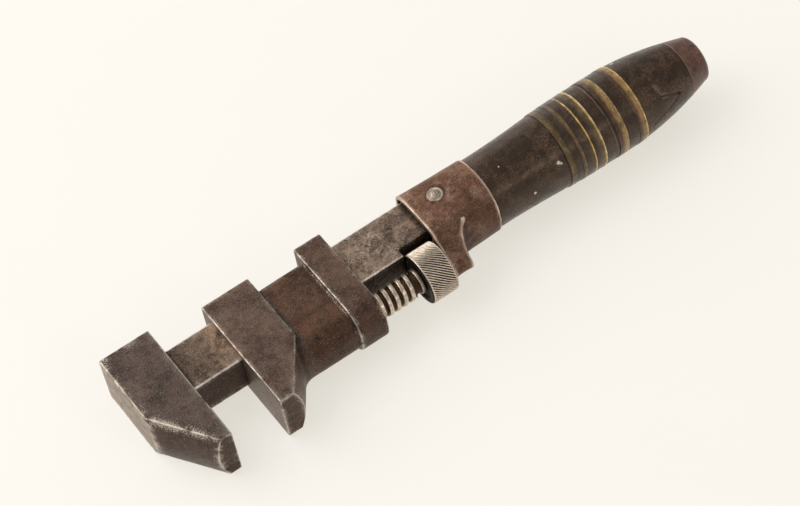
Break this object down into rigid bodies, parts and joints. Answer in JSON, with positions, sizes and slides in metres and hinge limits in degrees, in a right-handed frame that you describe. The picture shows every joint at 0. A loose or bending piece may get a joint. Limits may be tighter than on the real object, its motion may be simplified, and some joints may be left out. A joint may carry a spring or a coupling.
{
  "type": "adjustable wrench",
  "caption": "Screw-adjusted sliding-jaw wrench: forged bar with hammer-shaped fixed jaw, sliding jaw on a sleeve, knurled adjusting screw and a ring-stacked handle.",
  "frame": {"origin": "centre of the bounding box's bottom: below the middle of the wrench, level with the lowest point of the handle", "axes": "+X from the head to the butt of the handle, -Y towards the jaw tips, +Z across the jaws' thickness; the wrench lies on its side"},
  "size_m": [0.254, 0.0564, 0.0322],
  "materials": {
    "bar_steel": "worn dark grey-brown steel with bright edges",
    "sleeve_steel": "patinated dark steel, reddish on the sleeve",
    "screw_steel": "turned steel, oily brown in the grooves",
    "rosette_steel": "knurled steel, bright crests",
    "ferrule_iron": "red-brown rust patina with rubbed highlights",
    "rivet_steel": "domed and rubbed bright",
    "horn_black": "polished dark horn, semi-gloss",
    "horn_brown": "dark brown horn, semi-gloss",
    "horn_amber": "translucent amber horn, semi-gloss",
    "ring_yellow": "thin bright yellow ring",
    "ring_pale": "thin pale ring",
    "cap_red_brown": "red-brown end cap, satin"
  },
  "bodies": {
    "frame": {"bar_with_fixed_jaw": "bar_steel", "ferrule": "ferrule_iron", "ferrule_rivet": "rivet_steel", "front_barrel": "horn_black", "amber_disc_1": "horn_amber", "black_disc_1": "horn_black", "amber_disc_2": "horn_amber", "brown_disc_1": "horn_brown", "bright_washer_1": "ring_yellow", "brown_disc_2": "horn_brown", "bright_washer_2": "ring_yellow", "black_disc_2": "horn_black", "pale_washer": "ring_pale", "black_disc_3": "horn_black", "amber_disc_3": "horn_amber", "bright_washer_3": "ring_yellow", "black_disc_4": "horn_black", "amber_disc_4": "horn_amber", "bright_washer_4": "ring_yellow", "rear_barrel": "horn_black", "end_cap": "cap_red_brown", "butt_washer": "screw_steel", "tang_nut": "screw_steel"},
    "jaw": {"sliding_jaw": "sleeve_steel"},
    "screw": {"adjusting_screw": "screw_steel", "knurled_rosette": "rosette_steel"}
  },
  "joints": [
    {"name": "jaw_slide", "type": "slide", "parent": "frame", "child": "jaw", "axis": [1, 0, 0], "range_m": [-0.02, 0.018]},
    {"name": "screw_turn", "type": "hinge", "parent": "frame", "child": "screw", "pos_m": [-0.012, -0.00925, 0.0161], "axis": [1, 0, 0], "range_deg": [-2255, 2030]}
  ],
  "couplings": [
    {"joint": "screw_turn", "follows": "jaw_slide", "rad_per_m": 1963.5}
  ]
}
